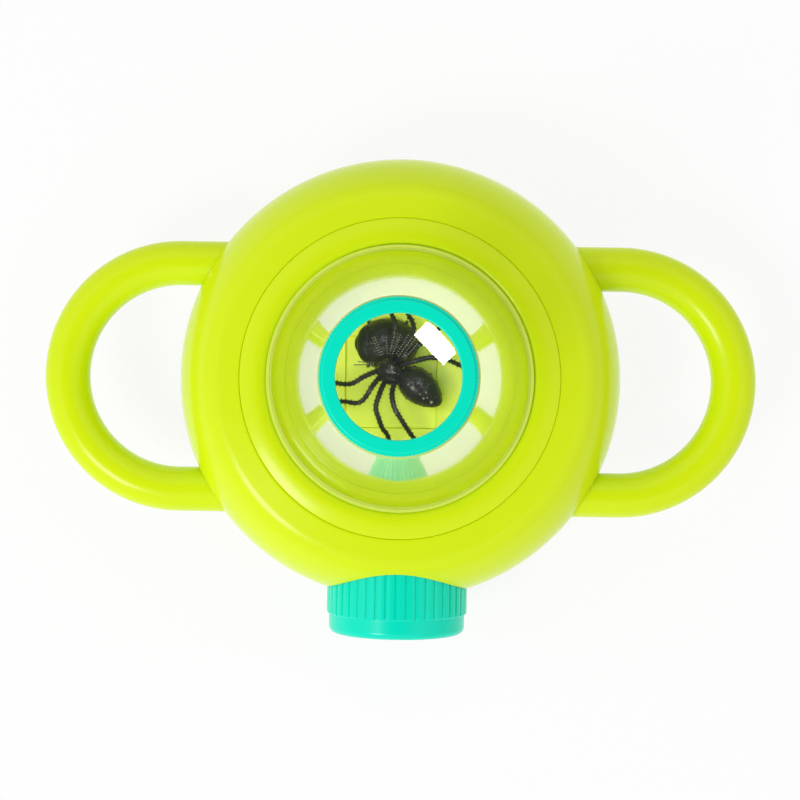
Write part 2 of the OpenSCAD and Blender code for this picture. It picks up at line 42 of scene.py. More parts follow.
print("frame loaded:", len(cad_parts), "nodes")


# Small helpers for meshes

def arcPoints(centre, radius, fromDeg, toDeg, steps):
    angles = [math.radians(fromDeg + (toDeg - fromDeg) * i / steps) for i in range(steps + 1)]
    return [(centre[0] + radius * math.cos(a), centre[1] + radius * math.sin(a)) for a in angles]


def spinOutline(outline, steps, closed=True):
    # turns (radius, height) points round Z; an open outline starts and ends on the axis
    bm = bmesh.new()
    verts = [bm.verts.new((r * mm, 0, z * mm)) for r, z in outline]
    pairs = list(zip(verts, verts[1:] + verts[:1])) if closed else list(zip(verts, verts[1:]))
    edges = [bm.edges.new(pair) for pair in pairs]
    bmesh.ops.spin(bm, geom=verts + edges, axis=(0, 0, 1), angle=2 * halfTurn, steps=steps, use_merge=True)
    bmesh.ops.remove_doubles(bm, verts=bm.verts, dist=1e-7)
    return bm


def softenRings(bm, rings, segments=3):
    # rounds the sharp rings at (radius, height) by the width given with each
    for radius, height, width in rings:
        edges = [e for e in bm.edges if all(
            abs(math.hypot(v.co.x, v.co.y) - radius * mm) < near and abs(v.co.z - height * mm) < near
            for v in e.verts)]
        bmesh.ops.bevel(bm, geom=edges, offset=width * mm, offset_type="OFFSET", segments=segments,
                        profile=0.5, affect="EDGES", material=-1, clamp_overlap=True)


def ontoPort(bm):
    # from round Z to round the side port's axis: +Z becomes -Y
    bmesh.ops.rotate(bm, matrix=Matrix.Rotation(halfTurn / 2, 3, "X"), verts=bm.verts)
    bmesh.ops.translate(bm, vec=(0, 0, body["equator"] * mm), verts=bm.verts)
    return bm


def pieceOntoPort(piece):
    bm = bmesh.new()
    bm.from_mesh(piece.data)
    ontoPort(bm).to_mesh(piece.data)
    bm.free()


def moveOut(bm, radius, deg):
    # away from the axis, in the direction of an angle round it
    a = math.radians(deg)
    bmesh.ops.translate(bm, vec=(radius * mm * math.cos(a), radius * mm * math.sin(a), 0), verts=bm.verts)
    return bm


def addMesh(bm, other):
    # puts the mesh of another bmesh into bm
    mesh = bpy.data.meshes.new("part")
    other.to_mesh(mesh)
    other.free()
    bm.from_mesh(mesh)
    bpy.data.meshes.remove(mesh)


def linkObject(name, data):
    made = bpy.data.objects.new(name, data)
    bpy.context.scene.collection.objects.link(made)
    return made


def meshObject(name, bm):
    bmesh.ops.recalc_face_normals(bm, faces=bm.faces)
    mesh = bpy.data.meshes.new(name)
    bm.to_mesh(mesh)
    bm.free()
    return linkObject(name, mesh)


def cutWith(piece, tool, operation):
    # applies a boolean at once and removes the tool
    boolean = piece.modifiers.new("cut", "BOOLEAN")
    boolean.operation = operation
    boolean.solver = "MANIFOLD"
    boolean.object = tool
    bpy.context.view_layer.update()
    mesh = bpy.data.meshes.new_from_object(piece.evaluated_get(bpy.context.evaluated_depsgraph_get()))
    piece.modifiers.clear()
    old = piece.data
    piece.data = mesh
    bpy.data.meshes.remove(old)
    bpy.data.objects.remove(tool)
    return piece


def dress(piece, material, bodyName, replaced, sharp=32, flat=True):
    # flat: large flat faces keep their own normals beside small rounded edges
    mesh = piece.data
    mesh.polygons.foreach_set("use_smooth", [True] * len(mesh.polygons))
    mesh.set_sharp_from_angle(angle=math.radians(sharp))
    mesh.materials.clear()
    mesh.materials.append(material)
    mesh.name = piece.name
    if flat:
        weigh = piece.modifiers.new("flatFaces", "WEIGHTED_NORMAL")
        weigh.keep_sharp = True
    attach(piece, bodyName)
    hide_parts(*replaced)
    print("piece", piece.name, len(mesh.polygons), "faces")
    return piece


ridge = {"sunk": 0.5, "footShare": 0.62, "crestShare": 0.25, "startDeg": 20}


def threadRidge(bm, wallR, crestR, width, lead, turns, startDeg, startZ, steps):
    # one helical ridge of a screw thread, sunk a little into its wall
    footR = wallR + (-ridge["sunk"] if crestR > wallR else ridge["sunk"])
    foot, crest = width * ridge["footShare"], width * ridge["crestShare"]
    section = [(footR, -foot), (crestR, -crest), (crestR, crest), (footR, foot)]
    start = math.radians(ridge["startDeg"] + startDeg)
    verts = [bm.verts.new((r * mm * math.cos(start), r * mm * math.sin(start), (startZ + z) * mm))
             for r, z in section]
    edges = [bm.edges.new(pair) for pair in zip(verts, verts[1:] + verts[:1])]
    made = bmesh.ops.spin(bm, geom=verts + edges, axis=(0, 0, 1), angle=2 * halfTurn * turns, steps=steps,
                          dvec=(0, 0, lead * turns / steps * mm))
    last = [e for e in made["geom_last"] if isinstance(e, bmesh.types.BMEdge)]
    for end in (edges, last):
        bmesh.ops.contextual_create(bm, geom=end)


# Materials

grains = {  # fineness of each noise, and strength and depth of the bumps, depths in metres
    "drift": 22.0, "wipe": 60.0, "fine": 2600.0, "fineDepth": 0.00006, "wave": 70.0,
    "waveBump": (0.25, 0.00012), "flow": 38.0, "flowBump": (0.12, 0.0002), "pits": 1500.0,
    "pitBump": (0.35, 0.00025), "blotch": 500.0, "finishDepth": 0.00005, "finishShade": 0.88,
    "lampTint": (0.93, 0.95, 0.93), "coatRough": 0.02,
}


def principled(name):
    material = bpy.data.materials.new(name)
    material.use_nodes = True
    return material, material.node_tree, material.node_tree.nodes["Principled BSDF"]


def node(tree, kind, **sockets):
    made = tree.nodes.new(kind)
    for key, value in sockets.items():
        made.inputs[key.replace("_", " ")].default_value = value
    return made


def objectNoise(tree, scale, detail=3.0, roughness=0.5):
    coords = tree.nodes.new("ShaderNodeTexCoord")
    grain = node(tree, "ShaderNodeTexNoise", Scale=scale, Detail=detail, Roughness=roughness)
    tree.links.new(coords.outputs["Object"], grain.inputs["Vector"])
    return grain


def blendColours(tree, shader, first, second, share):
    mix = tree.nodes.new("ShaderNodeMix")
    mix.data_type = "RGBA"
    mix.inputs["A"].default_value = (*first, 1)
    mix.inputs["B"].default_value = (*second, 1)
    tree.links.new(share, mix.inputs["Factor"])
    tree.links.new(mix.outputs["Result"], shader.inputs["Base Color"])


def larger(tree, first, second):
    made = tree.nodes.new("ShaderNodeMath")
    made.operation = "MAXIMUM"
    tree.links.new(first, made.inputs[0])
    tree.links.new(second, made.inputs[1])
    return made.outputs[0]


def mixShaders(tree, share, first, second, end):
    mix = tree.nodes.new("ShaderNodeMixShader")
    for source, socket in zip((share, first, second), mix.inputs):
        tree.links.new(source, socket)
    tree.links.new(mix.outputs[0], tree.nodes[end].inputs["Surface"])


def spread(tree, source, low, high):
    ramp = node(tree, "ShaderNodeMapRange", From_Min=0.25, From_Max=0.75, To_Min=low, To_Max=high)
    tree.links.new(source, ramp.inputs["Value"])
    return ramp.outputs["Result"]


def bump(tree, shader, source, strength, distance, before=None):
    made = node(tree, "ShaderNodeBump", Strength=strength, Distance=distance)
    tree.links.new(source, made.inputs["Height"])
    if before:
        tree.links.new(before, made.inputs["Normal"])
    tree.links.new(made.outputs["Normal"], shader.inputs["Normal"])
    return made.outputs["Normal"]


def mouldedPlastic(name, colour, shade, gloss, grain=0.05, shine=0.26):
    # satin injection-moulded plastic: faint tone drift, fine spark-eroded grain, polish that varies
    material, tree, shader = principled(name)
    drift = objectNoise(tree, grains["drift"], 2.0)
    blendColours(tree, shader, colour, shade, spread(tree, drift.outputs["Fac"], 0.0, 1.0))
    wipe = objectNoise(tree, grains["wipe"], 4.0, 0.6)
    tree.links.new(spread(tree, wipe.outputs["Fac"], *gloss), shader.inputs["Roughness"])
    fine = objectNoise(tree, grains["fine"], 2.0)
    wave = objectNoise(tree, grains["wave"], 1.0)
    first = bump(tree, shader, wave.outputs["Fac"], *grains["waveBump"])
    bump(tree, shader, fine.outputs["Fac"], grain, grains["fineDepth"], first)
    shader.inputs["IOR"].default_value = 1.5
    shader.inputs["Specular IOR Level"].default_value = shine
    return material


def clearPlastic(name, tint, rough, ior, coat=0.0):
    # polished clear plastic: faint flow waves, and lamp light passes through it to what is behind
    material, tree, shader = principled(name)
    shader.inputs["Base Color"].default_value = (*tint, 1)
    shader.inputs["Roughness"].default_value = rough
    shader.inputs["IOR"].default_value = ior
    shader.inputs["Transmission Weight"].default_value = 1.0
    shader.inputs["Coat Weight"].default_value = coat
    shader.inputs["Coat Roughness"].default_value = grains["coatRough"]
    wave = objectNoise(tree, grains["flow"], 1.0)
    bump(tree, shader, wave.outputs["Fac"], *grains["flowBump"])
    through = node(tree, "ShaderNodeBsdfTransparent", Color=(*grains["lampTint"], 1))
    rays = tree.nodes.new("ShaderNodeLightPath").outputs
    lampRay = larger(tree, rays["Is Shadow Ray"], rays["Is Diffuse Ray"])
    mixShaders(tree, lampRay, shader.outputs[0], through.outputs[0], "Material Output")
    return material


def toyRubber(name, colour, fleck, gloss):
    # black soft plastic with fine pits that glint
    material, tree, shader = principled(name)
    pits = node(tree, "ShaderNodeTexVoronoi", Scale=grains["pits"])
    coords = tree.nodes.new("ShaderNodeTexCoord")
    tree.links.new(coords.outputs["Object"], pits.inputs["Vector"])
    blotch = objectNoise(tree, grains["blotch"], 3.0)
    blendColours(tree, shader, colour, fleck, spread(tree, blotch.outputs["Fac"], 0.0, 1.0))
    tree.links.new(spread(tree, blotch.outputs["Fac"], *gloss), shader.inputs["Roughness"])
    bump(tree, shader, pits.outputs["Distance"], *grains["pitBump"])
    return material


def plainFinish(name, colour, gloss, metal=0.0, grainScale=900.0, grain=0.2):
    material, tree, shader = principled(name)
    fine = objectNoise(tree, grainScale, 4.0).outputs["Fac"]
    blendColours(tree, shader, [c * grains["finishShade"] for c in colour], colour, fine)
    tree.links.new(spread(tree, fine, *gloss), shader.inputs["Roughness"])
    shader.inputs["Metallic"].default_value = metal
    bump(tree, shader, fine, grain, grains["finishDepth"])
    return material


def linear(r, g, b):
    return tuple(((c / 255 + 0.055) / 1.055) ** 2.4 if c > 10 else c / 255 / 12.92 for c in (r, g, b))


lime = mouldedPlastic("limePlastic", linear(223, 245, 16), linear(219, 243, 13), (0.17, 0.24))
# painted light: a paler copy of the lime for the floor panel, standing in for light falling on the chamber
# floor
limePaintedLight = mouldedPlastic("limeInner", linear(230, 240, 34), linear(226, 238, 28), (0.3, 0.4))
# painted shade: a darker copy of the lime for the chamber bowl, standing in for the shade inside the body
limePaintedShade = mouldedPlastic("limeBowl", linear(152, 200, 16), linear(146, 195, 14), (0.35, 0.45))
teal = mouldedPlastic("tealPlastic", linear(0, 235, 203), linear(0, 231, 197), (0.2, 0.27), 0.04, 0.25)
clear = clearPlastic("clearPlastic", (0.93, 0.94, 0.87), 0.07, 1.58, 1.0)
# a frosted edge on the jar's top rim; its pale lime is painted light, standing in for lime light carried
# through the clear rim
frostedPaintedLight = plainFinish("frostedEdge", linear(205, 226, 120), (0.5, 0.65))
# painted light: a pale lime for the jar's foot lip, a painted light line over the dark line at the foot
footEdge = plainFinish("footEdge", linear(228, 247, 84), (0.35, 0.5))
# pale grey for the beads along the hairs, and painted glints on the abdomen's specks
hairGrey = plainFinish("hairGrey", linear(150, 150, 138), (0.35, 0.5))
lensClear = clearPlastic("lensPlastic", (0.99, 1.0, 0.995), 0.0, 1.49)
spiderBlack = toyRubber("spiderBlack", (0.006, 0.006, 0.008), (0.016, 0.016, 0.019), (0.14, 0.32))
beetleBlack = toyRubber("beetleBlack", (0.005, 0.005, 0.006), (0.012, 0.012, 0.014), (0.35, 0.5))
silicone = plainFinish("greenSilicone", linear(172, 200, 52), (0.45, 0.6))
foam = plainFinish("paleFoam", (0.78, 0.78, 0.74), (0.7, 0.9), grainScale=2500.0, grain=0.5)
zinc = plainFinish("zincSteel", (0.62, 0.64, 0.66), (0.28, 0.42), metal=1.0)
print("materials made")


# The body's two shells

body = {
    "equator": 32.0, "tubeR": 33.5, "ringR": 41.5, "wall": 2.4,
    "bendR": 10.0, "bendStart": 46.0, "topLean": 10.0,
    "seatR": 52.75, "ledge": 56.5, "ledgeT": 2.6, "mouthR": 39.6,
    "bossR": 4.6, "bossRing": 58.0, "bossAngles": (0, 60, 120, 180, 235, 305), "bossEnds": (-6.0, 60.0),
    "screwHeadR": 3.1, "screwR": 1.75, "screwSink": 20.0, "lipT": 1.2, "lipTop": 34.0, "lipGap": 0.15,
    "pocketR": 24.25, "pocketFloor": 60.0, "pocketWall": 2.2, "portHole": 20.5, "portStart": 30.0,
    "gripHole": 7.75, "rootX": 50.5, "gripY": 38.6, "past": 92.0, "pocketPast": 80.0,
    "steps": 240, "pocketSteps": 96, "portSteps": 144, "gripSteps": 64, "screwSteps": 32,
    "seatSoft": 0.55, "seamSoft": 0.25, "mouthSoft": 0.4, "baseSoft": 0.8, "seamOverlap": 0.05,
}


def crownOutline(inset, seatR):
    # section of the upper half from the widest line over the shoulder to the seat's edge
    start = math.radians(body["bendStart"])
    reach = body["tubeR"] - body["bendR"]
    bend = (body["ringR"] + reach * math.cos(start), body["equator"] + reach * math.sin(start))
    side = arcPoints((body["ringR"], body["equator"]), body["tubeR"] - inset, 0, body["bendStart"], 26)
    shoulder = arcPoints(bend, body["bendR"] - inset, body["bendStart"], 90 - body["topLean"], 16)
    edgeR, edgeZ = shoulder[-1]
    rise = math.tan(math.radians(body["topLean"]))
    slope = [(edgeR + (seatR - edgeR) * i / 6, edgeZ + (edgeR - seatR) * i / 6 * rise) for i in range(1, 7)]
    return side + shoulder[1:] + slope


def upperShell():
    outer = crownOutline(0, body["seatR"])
    riser = body["seatR"] + body["wall"]
    inner = crownOutline(body["wall"], riser)
    low = body["ledge"] - body["ledgeT"]
    outline = outer + [(body["seatR"], body["ledge"]), (body["mouthR"], body["ledge"]),
                       (body["mouthR"], low), (riser, low)] + inner[::-1]
    bm = spinOutline(outline, body["steps"])
    softenRings(bm, [(*outer[-1], body["seatSoft"]),
                     (body["tubeR"] + body["ringR"], body["equator"], body["seamSoft"]),
                     (body["mouthR"], body["ledge"], body["mouthSoft"]),
                     (body["mouthR"], low, body["mouthSoft"])])
    return meshObject("bodyUpper", bm)


def lowerShell():
    centre = (body["ringR"], body["equator"])
    dip = -math.degrees(math.asin(body["equator"] / body["tubeR"]))
    outer = arcPoints(centre, body["tubeR"], 0, dip, 44)
    innerR = body["tubeR"] - body["wall"]
    innerDip = -math.degrees(math.asin((body["equator"] - body["wall"]) / innerR))
    inner = arcPoints(centre, innerR, innerDip, 0, 36)[:-1]
    lipOut = body["ringR"] + innerR - body["lipGap"]
    lipIn = lipOut - body["lipT"]
    lip = [(lipIn, inner[-1][1]), (lipIn, body["lipTop"]), (lipOut, body["lipTop"]),
           (lipOut, body["equator"])]
    outline = [(0, body["wall"])] + inner + lip + outer + [(0, 0)]
    bm = spinOutline(outline, body["steps"], closed=False)
    softenRings(bm, [(body["tubeR"] + body["ringR"], body["equator"], body["seamSoft"]),
                     (*outer[-1], body["baseSoft"])])
    return meshObject("bodyLower", bm)


def midBody(up):
    # solid up to the middle of the shells' wall, which trims what the shells carry inside
    inset = body["wall"] / 2
    if up:
        z = body["equator"] + body["seamOverlap"]
        arc = crownOutline(inset, body["ringR"])
    else:
        z = body["equator"] - body["seamOverlap"]
        arc = arcPoints((body["ringR"], body["equator"]), body["tubeR"] - inset, 0, -90, 40)
    outline = [(0, z), (arc[0][0], z)] + arc[1:] + [(0, arc[-1][1])]
    return meshObject("midBody", spinOutline(outline, body["steps"], closed=False))


def solidRound(steps, *sections):
    # a solid round Z from sections (radius, low, high), one above the other
    outline = [(0, sections[0][1])]
    for radius, low, high in sections:
        outline += [(radius, low), (radius, high)]
    return spinOutline(outline + [(0, sections[-1][2])], steps, closed=False)


def fittings(withBosses):
    wall = body["pocketWall"]
    bm = ontoPort(solidRound(body["pocketSteps"],
                             (body["pocketR"] + wall, body["pocketFloor"] - wall, body["pocketPast"])))
    if withBosses:
        for deg in body["bossAngles"]:
            boss = solidRound(body["screwSteps"], (body["bossR"], *body["bossEnds"]))
            addMesh(bm, moveOut(boss, body["bossRing"], deg))
    return meshObject("fittings", bm)


def shellCutters(withScrews):
    bm = ontoPort(solidRound(body["portSteps"], (body["portHole"], body["portStart"], body["pocketFloor"]),
                             (body["pocketR"], body["pocketFloor"], body["past"])))
    for side in (-1, 1):
        for end in (-1, 1):
            rod = solidRound(body["gripSteps"], (body["gripHole"], body["rootX"], body["past"]))
            bmesh.ops.rotate(rod, matrix=Matrix.Rotation(side * halfTurn / 2, 3, "Y"), verts=rod.verts)
            bmesh.ops.translate(rod, vec=(0, end * body["gripY"] * mm, body["equator"] * mm),
                                verts=rod.verts)
            addMesh(bm, rod)
    if withScrews:
        low, high = body["bossEnds"]
        for deg in body["bossAngles"]:
            hole = solidRound(body["screwSteps"], (body["screwHeadR"], low, body["screwSink"]),
                              (body["screwR"], body["screwSink"], high))
            addMesh(bm, moveOut(hole, body["bossRing"], deg))
    return meshObject("cutters", bm)


upper = cutWith(upperShell(), cutWith(fittings(False), midBody(True), "INTERSECT"), "UNION")
upper = cutWith(upper, shellCutters(False), "DIFFERENCE")
dress(upper, lime, "body", ["upper_shell"])
lower = cutWith(lowerShell(), cutWith(fittings(True), midBody(False), "INTERSECT"), "UNION")
lower = cutWith(lower, shellCutters(True), "DIFFERENCE")
dress(lower, lime, "body", ["lower_shell"])


# Handles

handle = {"r": 7.6, "wall": 2.0, "reach": 75.2, "around": 56, "bendSteps": 72}


def makeHandle(name, side, cadNode):
    bm = bmesh.new()
    for radius in (handle["r"], handle["r"] - handle["wall"]):
        ring = bmesh.ops.create_circle(bm, segments=handle["around"], radius=radius * mm)
        bmesh.ops.rotate(bm, matrix=Matrix.Rotation(halfTurn / 2, 3, "Y"), verts=ring["verts"])
        bmesh.ops.translate(bm, vec=(handle["reach"] * mm, -body["gripY"] * mm, body["equator"] * mm),
                            verts=ring["verts"])
        edges = list({e for v in ring["verts"] for e in v.link_edges})
        bmesh.ops.spin(bm, geom=ring["verts"] + edges, cent=(handle["reach"] * mm, 0, body["equator"] * mm),
                       axis=(0, 0, 1), angle=halfTurn, steps=handle["bendSteps"])
    ends = [e for e in bm.edges if e.is_boundary]
    made = bmesh.ops.extrude_edge_only(bm, edges=ends)
    bmesh.ops.translate(bm, vec=((body["rootX"] - handle["reach"]) * mm, 0, 0),
                        verts=[v for v in made["geom"] if isinstance(v, bmesh.types.BMVert)])
    for sy in (-1, 1):
        ends = [e for e in bm.edges if e.is_boundary and e.verts[0].co.y * sy > 0]
        bmesh.ops.bridge_loops(bm, edges=ends)
    if side < 0:
        bmesh.ops.rotate(bm, matrix=Matrix.Rotation(halfTurn, 3, "Z"), verts=bm.verts)
    dress(meshObject(name, bm), lime, "body", [cadNode], sharp=50)


makeHandle("handleRight", 1, "handle_right")
makeHandle("handleLeft", -1, "handle_left")


# Collar ring and jar

collar = {"r": 52.73, "bore": 44.0, "rise": 1.6, "stepR": 47.0, "stepZ": 59.6, "rollShare": 0.55,
          "rollDrop": 1.5, "rollLimit": 0.995, "riseCurve": 0.9, "soft": 0.55}


def seatEdge():
    return crownOutline(0, body["seatR"])[-1][1]


def makeCollar():
    # the top rises gently from the groove and rolls down to the jar
    low, high = seatEdge(), seatEdge() + collar["rise"]
    crown = []
    for i in range(25):
        t = i / 24
        r = collar["r"] - (collar["r"] - collar["bore"]) * t
        roll = max(0.0, (t - collar["rollShare"]) / (1 - collar["rollShare"]))
        crown.append((r, low + (high - low) * math.sin(t * halfTurn / 2) ** collar["riseCurve"]
                      - collar["rollDrop"] * (1 - math.sqrt(1 - min(roll, collar["rollLimit"]) ** 2))))
    outline = [(collar["r"], body["ledge"])] + crown + [
        (collar["bore"], collar["stepZ"]), (collar["stepR"], collar["stepZ"]),
        (collar["stepR"], body["ledge"])]
    bm = spinOutline(outline, body["steps"])
    softenRings(bm, [(*crown[0], collar["soft"])])
    dress(meshObject("collarRing", bm), lime, "body", ["collar_ring"])


makeCollar()

jar = {
    "foot": 43.3, "footZ": 59.5, "low": 57.5, "curveH": 47.5, "coneH": 21.0, "leanFoot": 10.5,
    "leanCone": 18.5, "wall": 2.2, "flange": 46.5, "round": 0.8, "neck": 20.3, "bore": 18.3, "top": 134.26,
    "lipOut": 0.56, "lipH": 2.3, "lipSoft": 0.25, "soft": 0.3, "edgeNear": 0.05, "threadNear": 0.3,
    "threadH": 0.8, "threadW": 1.3, "threadTurns": 0.5, "threadSteps": 40, "lead": 6.0, "starts": 2,
    "steps": 192,
}
jarShoulder = jar["footZ"] + jar["curveH"] + jar["coneH"] + jar["round"]


def jarRadius(share):
    foot, cone = (math.tan(math.radians(jar[k])) for k in ("leanFoot", "leanCone"))
    return jar["foot"] - jar["curveH"] * (foot * share + (cone - foot) * share ** 2 / 2)


def makeJar():
    inset = jar["wall"] / math.cos(math.radians(jar["leanCone"]))
    outer = [(jarRadius(i / 24), jar["footZ"] + jar["curveH"] * i / 24) for i in range(25)]
    bendR, bendZ = outer[-1]
    coneR = bendR - jar["coneH"] * math.tan(math.radians(jar["leanCone"]))
    coneZ = bendZ + jar["coneH"]
    outer += [(bendR + (coneR - bendR) * i / 10, bendZ + jar["coneH"] * i / 10) for i in range(1, 11)]
    inner = [(r - inset, z) for r, z in outer]
    lipZ = jar["footZ"] + jar["lipH"]  # a low lip round the foot, level with the collar ring
    lipR, wallR = jar["foot"] + jar["lipOut"], jarRadius(jar["lipH"] / jar["curveH"])
    outer = [(lipR, jar["footZ"]), (lipR, lipZ), (wallR, lipZ)] + outer[2:]
    ceiling = jarShoulder - jar["wall"]
    roundTop = arcPoints((coneR - jar["round"], coneZ), jar["round"], 0, 90, 6)
    outline = ([(jar["flange"], jar["low"]), (jar["flange"], jar["footZ"])] + outer + roundTop
               + [(jar["neck"], jarShoulder), (jar["neck"], jar["top"]), (jar["bore"], jar["top"]),
                  (jar["bore"], ceiling), (coneR - inset - jar["round"], ceiling),
                  (coneR - inset, coneZ - jar["wall"] / 2)]
               + inner[::-1] + [(jar["foot"] - inset, jar["low"])])
    bm = spinOutline(outline, jar["steps"])
    softenRings(bm, [(jar["flange"], jar["low"], jar["soft"]), (jar["flange"], jar["footZ"], jar["soft"]),
                     (jar["neck"], jar["top"], jar["soft"]), (jar["bore"], jar["top"], jar["soft"]),
                     (jar["neck"], jarShoulder, jar["soft"]), (lipR, lipZ, jar["lipSoft"])])
    glass = meshObject("viewingJar", bm)
    thread = bmesh.new()
    for start in range(jar["starts"]):
        threadRidge(thread, jar["neck"], jar["neck"] + jar["threadH"], jar["threadW"], jar["lead"],
                    jar["threadTurns"], 360 / jar["starts"] * start, jarShoulder + jar["threadW"],
                    jar["threadSteps"])
    cutWith(glass, meshObject("jarThread", thread), "UNION")
    dress(glass, clear, "body", ["viewing_jar"], sharp=40)
    glass.data.materials.append(frostedPaintedLight)
    glass.data.materials.append(footEdge)
    threadR = jar["neck"] + jar["threadH"] + jar["threadNear"]
    for face in glass.data.polygons:
        out, up = math.hypot(face.center.x, face.center.y) / mm, face.center.z / mm
        # top rim: the frosted finish, whose pale lime is painted light
        if up > coneZ - jar["edgeNear"] and out > threadR:
            face.material_index = 1
        # foot lip: the pale painted light
        elif up < lipZ + jar["edgeNear"] and out > wallR:
            face.material_index = 2


makeJar()

# Lens cap and lens

lensCap = {
    "r": 23.1, "low": 129.4, "top": 140.2, "open": 18.2, "bore": 21.45, "seatR": 20.15, "seatZ": 138.2,
    "lensLow": 136.56, "teeth": 120, "toothH": 0.35, "toothTop": 139.3, "lensR": 20.0, "domeR": 108.0,
    "edgeT": 1.35, "openSoft": 0.55, "seatSoft": 0.3, "lensSoft": 0.2, "threadSteps": 24,
    "flatShares": (0, 0.25, 0.5, 0.75, 0.94, 0.97, 0.985, 1),
    "rim": ((0.4, 0.2), (0.95, 0.25), (1.1, 0.72), (1.4, 0.9)),  # in from the skirt, up from the teeth
}


def makeLensCap():
    top, low = lensCap["top"], lensCap["low"]
    rim = [(lensCap["r"] - inward, lensCap["toothTop"] + up) for inward, up in lensCap["rim"]]
    outline = [(lensCap["r"], low), (lensCap["r"], lensCap["toothTop"])] + rim + [
        (lensCap["open"], top), (lensCap["open"], lensCap["seatZ"]),
        (lensCap["seatR"], lensCap["seatZ"]), (lensCap["seatR"], lensCap["lensLow"]),
        (lensCap["bore"], lensCap["lensLow"]), (lensCap["bore"], low)]
    steps = lensCap["teeth"] * 2
    bm = spinOutline(outline, steps)
    bm.verts.ensure_lookup_table()
    for v in bm.verts:  # every other vertex of the skirt goes in, which makes the teeth
        radius = math.hypot(v.co.x, v.co.y)
        if abs(radius - lensCap["r"] * mm) < 1e-6:
            turn = round(math.atan2(v.co.y, v.co.x) / (2 * halfTurn) * steps)
            if turn % 2:
                v.co.xy *= (radius - lensCap["toothH"] * mm) / radius
    softenRings(bm, [(lensCap["open"], top, lensCap["openSoft"]),
                     (lensCap["open"], lensCap["seatZ"], lensCap["seatSoft"])], 4)
    piece = meshObject("lensCap", bm)
    thread = bmesh.new()
    startZ = jarShoulder + jar["threadW"] + jar["lead"] / jar["starts"] / 2
    for start in range(jar["starts"]):
        threadRidge(thread, lensCap["bore"], lensCap["bore"] - jar["threadH"], jar["threadW"], jar["lead"],
                    jar["threadTurns"] / 2, 360 / jar["starts"] * start, startZ, lensCap["threadSteps"])
    cutWith(piece, meshObject("capThread", thread), "UNION")
    dress(piece, teal, "lens_screw_cap", ["lens_cap"], sharp=28)


def makeLens():
    def sag(r):
        return lensCap["domeR"] - math.sqrt(lensCap["domeR"] ** 2 - r ** 2)
    low, edge = lensCap["lensLow"], lensCap["lensLow"] + lensCap["edgeT"]
    top = edge + sag(lensCap["lensR"])
    radii = [lensCap["lensR"] * (1 - i / 32) for i in range(33)]
    outline = [(share * lensCap["lensR"], low) for share in lensCap["flatShares"]]
    bm = spinOutline(outline + [(r, top - sag(r)) for r in radii], jar["steps"], closed=False)
    softenRings(bm, [(lensCap["lensR"], low, lensCap["lensSoft"])], 2)
    dress(meshObject("magnifierLens", bm), lensClear, "lens_screw_cap", ["magnifier_lens"],
          flat=False)


makeLensCap()
makeLens()

# Side port and its cap

port = {"neckR": 20.2, "r": 17.8, "shoulderR": 21.5, "in": 48.0, "out": 57.7, "tip": 83.1,
        "threadH": 1.0, "threadW": 1.8, "lead": 12.0, "turns": 0.75, "starts": 3, "soft": 0.5,
        "steps": 128, "threadSteps": 56}
threadLow = port["tip"] - port["threadW"] - port["lead"] * port["turns"]
sideCap = {
    "r": 23.9, "rim": 61.5, "end": 86.6, "band": 6.6, "ribs": 44, "ribH": 0.55, "bore": 21.55,
    "inside": 84.6, "edge": 2.4, "bandStep": 0.2, "draft": 0.05, "perRib": 10, "ribFlankShare": 0.2,
    "ribCrown": 0.008, "ribEase": 0.5, "rimEase": 0.4, "rootEase": 0.1, "bandEase": 0.25, "endFlat": 6.0,
    "ventR": 1.1, "ventStep": 5.0, "ventEnds": (78.0, 92.0), "ventSides": 20, "threadSteps": 32,
}


def makeSideNeck():
    outline = [(port["r"], port["in"]), (port["shoulderR"], port["in"]), (port["shoulderR"], port["out"]),
               (port["neckR"], port["out"]), (port["neckR"], port["tip"]), (port["r"], port["tip"])]
    bm = spinOutline(outline, port["steps"])
    softenRings(bm, [(port["neckR"], port["tip"], port["soft"]), (port["r"], port["tip"], port["soft"])])
    piece = meshObject("sideNeck", bm)
    thread = bmesh.new()
    for start in range(port["starts"]):
        threadRidge(thread, port["neckR"], port["neckR"] + port["threadH"], port["threadW"], port["lead"],
                    port["turns"], 360 / port["starts"] * start, threadLow, port["threadSteps"])
    cutWith(piece, meshObject("neckThread", thread), "UNION")
    pieceOntoPort(piece)
    dress(piece, lime, "body", ["side_neck"])


def ribDepth(turn):
    # how far a point of the rib's section lies below the rib's crown, by its place in the pitch
    place = turn % sideCap["perRib"]
    if place in (0, 1):
        return sideCap["ribH"]
    if place in (2, sideCap["perRib"] - 1):
        return sideCap["ribH"] * sideCap["ribFlankShare"]
    return sideCap["ribCrown"] * (place - (sideCap["perRib"] + 1) / 2) ** 2


